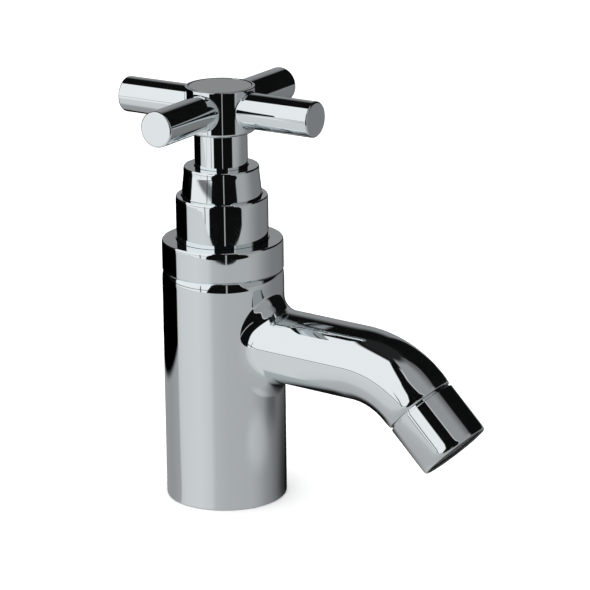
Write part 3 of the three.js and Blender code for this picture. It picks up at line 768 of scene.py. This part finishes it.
# ---------------------------------------------------------------- handle cap
# A pressed brass disc, plated, that snaps into the hub over its screw. Its face is plain.
cap_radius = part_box("handle_cap")[1].x
cap_top = hub_high - 0.02 * mm
cap_low = hub_high - 0.9 * mm
cap_ring = 7.2 * mm
cap_ring_wall = 1.9 * mm
cap_ring_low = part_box("handle_cap")[0].z
cap_profile = [
    (0, cap_top),
    (cap_radius, cap_top),
    (cap_radius, cap_low),
    (cap_ring, cap_low),
    (cap_ring, cap_ring_low),
    (cap_ring - cap_ring_wall, cap_ring_low),
    (cap_ring - cap_ring_wall, cap_low),
    (0, cap_low),
]
bm = spun(cap_profile, closed=False)
rounded(bm, [(cap_radius, cap_top)], 0.12 * mm, 3)
made("hub_cap", bm, "handle", "chrome", chrome, ["handle_cap"])


# ---------------------------------------------------------------- aerator
# A plated ring screwed into the spout's end, with a shadow groove next to the spout.
outlet_place = spout_line(spout_length)[0]
outlet_frame = Matrix.Translation(outlet_place) @ Matrix.Rotation(pi / 2 + outlet_tilt, 4, "X")
aerator_radius = 13.15 * mm
aerator_length = 20.4 * mm
aerator_bore = 10.1 * mm
aerator_thread = 11.6 * mm
thread_low = -5.7 * mm
groove_low, groove_high = 0.3 * mm, 1 * mm
groove_depth = 0.8 * mm
mouth_radius = 12 * mm
mouth_floor = 10.7 * mm
housing_profile = [
    (aerator_bore, thread_low),
    (aerator_thread, thread_low),
    (aerator_thread, groove_low),
    (aerator_radius - groove_depth, groove_low),
    (aerator_radius - groove_depth, groove_high),
    (aerator_radius, groove_high),
    *soft_edge(aerator_radius, aerator_length, 3.2 * mm, 0.8 * mm),
    (mouth_radius, aerator_length),
    (mouth_radius, mouth_floor),
    (aerator_bore, mouth_floor),
]
bm = spun(housing_profile)
rounded(bm, [(aerator_radius, groove_high)], 0.25 * mm, 3)
bmesh.ops.transform(bm, matrix=outlet_frame, verts=bm.verts)
made("aerator_ring", bm, "tap", "chrome", chrome, ["aerator_housing"])


# ---------------------------------------------------------------- aerator insert
# A moulded plug pushed into the ring: a collar lines the mouth, and a honeycomb set back inside it
# lays the water out in straight threads. The collar's black is painted shade, standing for the shadow and
# dark reflection inside the mouth.
def clouded(tree, cloud, colour, low, high):
    """A colour that drifts between two strengths of itself."""
    dark, pale = [(*(part * factor for part in colour), 1) for factor in (low, high)]
    return node(tree, "ShaderNodeMix", {"data_type": "RGBA"}, {"Factor": cloud, 6: dark, 7: pale}, 2)


def moulded(name, colour, roughness):
    material, tree = plain_material(name)
    spot = node(tree, "ShaderNodeTexCoord", output="Object")
    grain = noise(tree, spot, 1800.0, 4.0)
    principled(
        tree,
        Base_Color=clouded(tree, noise(tree, spot, 120.0, 3.0), colour, 0.85, 1.12),
        Roughness=ease(grain, 0.3, 0.7, roughness - 0.06, roughness + 0.08),
        Normal=bumped(tree, grain, 0.3, 0.02 * mm),
    )
    return material


# Painted shade: this black stands for the shade inside the mouth's recess.
painted_shade_black = moulded("painted_shade_black", (0.012, 0.012, 0.013), 0.45)
grey_acetal = moulded("grey_acetal", (0.085, 0.088, 0.087), 0.4)
insert_radius = 11.7 * mm
insert_face = aerator_length - 0.9 * mm
insert_low = insert_face - 7.5 * mm
lining_face = aerator_length - 0.35 * mm
lining_inner = insert_radius - 0.9 * mm
lining = [
    (insert_radius, insert_low),
    (insert_radius, lining_face),
    (lining_inner, lining_face),
    (lining_inner, insert_low),
]
bm = spun(lining)
rounded(bm, [(insert_radius, lining_face), (lining_inner, lining_face)], 0.15 * mm, 3)
bmesh.ops.transform(bm, matrix=outlet_frame, verts=bm.verts)
made("insert_collar", bm, "tap", "plastic", painted_shade_black, ["aerator_insert"])

cell = 1.25 * mm
cell_wall = 0.2 * mm
cell_depth = 2.2 * mm
comb_radius = lining_inner - 0.02 * mm
bm = bmesh.new()
for row in range(-6, 7):
    for column in range(-6, 7):
        middle = Vector(((column + (row % 2) / 2) * cell * sqrt(3), row * cell * 1.5, insert_face))
        if hypot(middle.x, middle.y) < comb_radius - cell * 0.9:
            place = Matrix.Translation(middle) @ Matrix.Rotation(pi / 6, 4, "Z")
            bmesh.ops.create_circle(bm, cap_ends=True, segments=6, radius=cell, matrix=place)
bmesh.ops.remove_doubles(bm, verts=bm.verts, dist=0.02 * mm)
cells = bm.faces[:]
bmesh.ops.inset_individual(bm, faces=cells, thickness=cell_wall, use_even_offset=True)
bmesh.ops.delete(bm, geom=cells, context="FACES_ONLY")
sunk = bmesh.ops.extrude_face_region(bm, geom=bm.faces[:], use_keep_orig=True)["geom"]
deep = [item for item in sunk if isinstance(item, bmesh.types.BMVert)]
bmesh.ops.translate(bm, verts=deep, vec=(0, 0, -cell_depth))
bmesh.ops.recalc_face_normals(bm, faces=bm.faces)
bmesh.ops.transform(bm, matrix=outlet_frame, verts=bm.verts)
made("insert_honeycomb", bm, "tap", "plastic", grey_acetal)

plug_face = insert_face - cell_depth
plug_profile = [(0, insert_low), (comb_radius, insert_low), (comb_radius, plug_face), (0, plug_face)]
plug = spun(plug_profile, closed=False)
bmesh.ops.transform(plug, matrix=outlet_frame, verts=plug.verts)
made("insert_plug", plug, "tap", "plastic", grey_acetal)


# ---------------------------------------------------------------- fixing below the deck
# The tail is a brass tube with a real half-inch thread cut on it. The backnut has its corners turned off.
def metal_finish(name, colour, roughness, scale):
    material, tree = plain_material(name)
    spot = node(tree, "ShaderNodeTexCoord", output="Object")
    grain = noise(tree, spot, scale, 5.0)
    principled(
        tree,
        Base_Color=clouded(tree, noise(tree, spot, 90.0, 4.0), colour, 0.78, 1.08),
        Metallic=1.0,
        Roughness=ease(grain, 0.3, 0.7, roughness * 0.8, roughness * 1.25),
        Normal=bumped(tree, grain, 0.15, 0.03 * mm),
    )
    return material


machined_brass = metal_finish("machined_brass", (0.72, 0.55, 0.27), 0.26, 700.0)
tail_low, tail_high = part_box("threaded_tail")[0].z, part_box("threaded_tail")[1].z
tail_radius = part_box("threaded_tail")[1].x
tail_bore = tail_radius - 3.45 * mm
tail_chamfer = 1 * mm
thread_pitch = 1.814 * mm
thread_height = 1 * mm
crest = 1.15  # how much steeper than a plain zigzag the flanks are, which flattens the crests
cuts = round((tail_high - tail_low) / thread_pitch * 8)
profile = [(tail_bore, tail_low)]
profile += [(tail_radius, level) for level in levels(tail_low, tail_high, cuts)]
profile += [(tail_bore, tail_high)]
bm = spun(profile)
for vert in bm.verts:
    if at_radius([vert], tail_radius):
        share = (vert.co.z / thread_pitch - atan2(vert.co.y, vert.co.x) / (2 * pi)) % 1
        flank = min(crest * abs(2 * share - 1), 1)
        chamfer = max(0, tail_chamfer - min(vert.co.z - tail_low, tail_high - vert.co.z))
        lowered = 1 - max(thread_height * (1 - flank), chamfer) / tail_radius
        vert.co.x *= lowered
        vert.co.y *= lowered
made("tail", bm, "tap", "brass", machined_brass, ["threaded_tail"], crease=50)

nut_low, nut_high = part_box("backnut")[0].z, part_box("backnut")[1].z
nut_x, nut_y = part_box("backnut")[1].x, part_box("backnut")[1].y
nut_flats, nut_corners = min(nut_x, nut_y), max(nut_x, nut_y)
nut_face = nut_flats - 0.6 * mm
nut_hole = tail_radius + 0.1 * mm
nut_chamfer = 1.1 * mm
profile = [
    (nut_hole, nut_low),
    (nut_face, nut_low),
    (nut_corners, nut_low + nut_chamfer),
    (nut_corners, nut_high - nut_chamfer),
    (nut_face, nut_high),
    (nut_hole, nut_high),
]
bm = spun(profile)
first_flat = pi / 2 if nut_flats == nut_y else 0
for side in range(6):
    swing = first_flat + side * pi / 3
    across = Vector((cos(swing), sin(swing), 0))
    plane = {"plane_co": across * nut_flats, "plane_no": across, "clear_outer": True}
    cut = bmesh.ops.bisect_plane(bm, geom=bm.verts[:] + bm.edges[:] + bm.faces[:], **plane)
    rim = [item for item in cut["geom_cut"] if isinstance(item, bmesh.types.BMEdge)]
    bmesh.ops.contextual_create(bm, geom=rim)
bmesh.ops.recalc_face_normals(bm, faces=bm.faces)
made("nut", bm, "tap", "brass", machined_brass, ["backnut"])


# ---------------------------------------------------------------- pieces inside and below
# The valve, its seals, the washers and the screws keep the frame's own shapes. Brass and steel are
# machined, the rubber, fibre and plastic are moulded or pressed, and the ceramic discs are lapped.
def simple_finish(name, colour, metallic, roughness, scale):
    material, tree = plain_material(name)
    grain = noise(tree, node(tree, "ShaderNodeTexCoord", output="Object"), scale, 6.0)
    principled(
        tree,
        Base_Color=(*colour, 1),
        Metallic=metallic,
        Roughness=ease(grain, 0.3, 0.7, roughness * 0.8, roughness * 1.2),
        Normal=bumped(tree, grain, 0.2, 0.05 * mm),
    )
    return material


finishes = {
    "brass": machined_brass,
    "steel": simple_finish("stainless_steel", (0.62, 0.62, 0.63), 1.0, 0.3, 900.0),
    "rubber": simple_finish("black_rubber", (0.02, 0.02, 0.021), 0.0, 0.65, 1500.0),
    "fibre": simple_finish("pressed_fibre", (0.36, 0.12, 0.09), 0.0, 0.8, 1500.0),
    "ceramic": simple_finish("lapped_ceramic", (0.83, 0.82, 0.79), 0.0, 0.15, 700.0),
    "plastic": simple_finish("moulded_acetal", (0.7, 0.71, 0.72), 0.0, 0.4, 900.0),
}
slots = {part["node"]: part["material_slot"] for part in frame["record"]["subparts"]}
for name, piece in frame["nodes"].items():
    if slots[name] in finishes:
        piece.data.materials.clear()
        piece.data.materials.append(finishes[slots[name]])
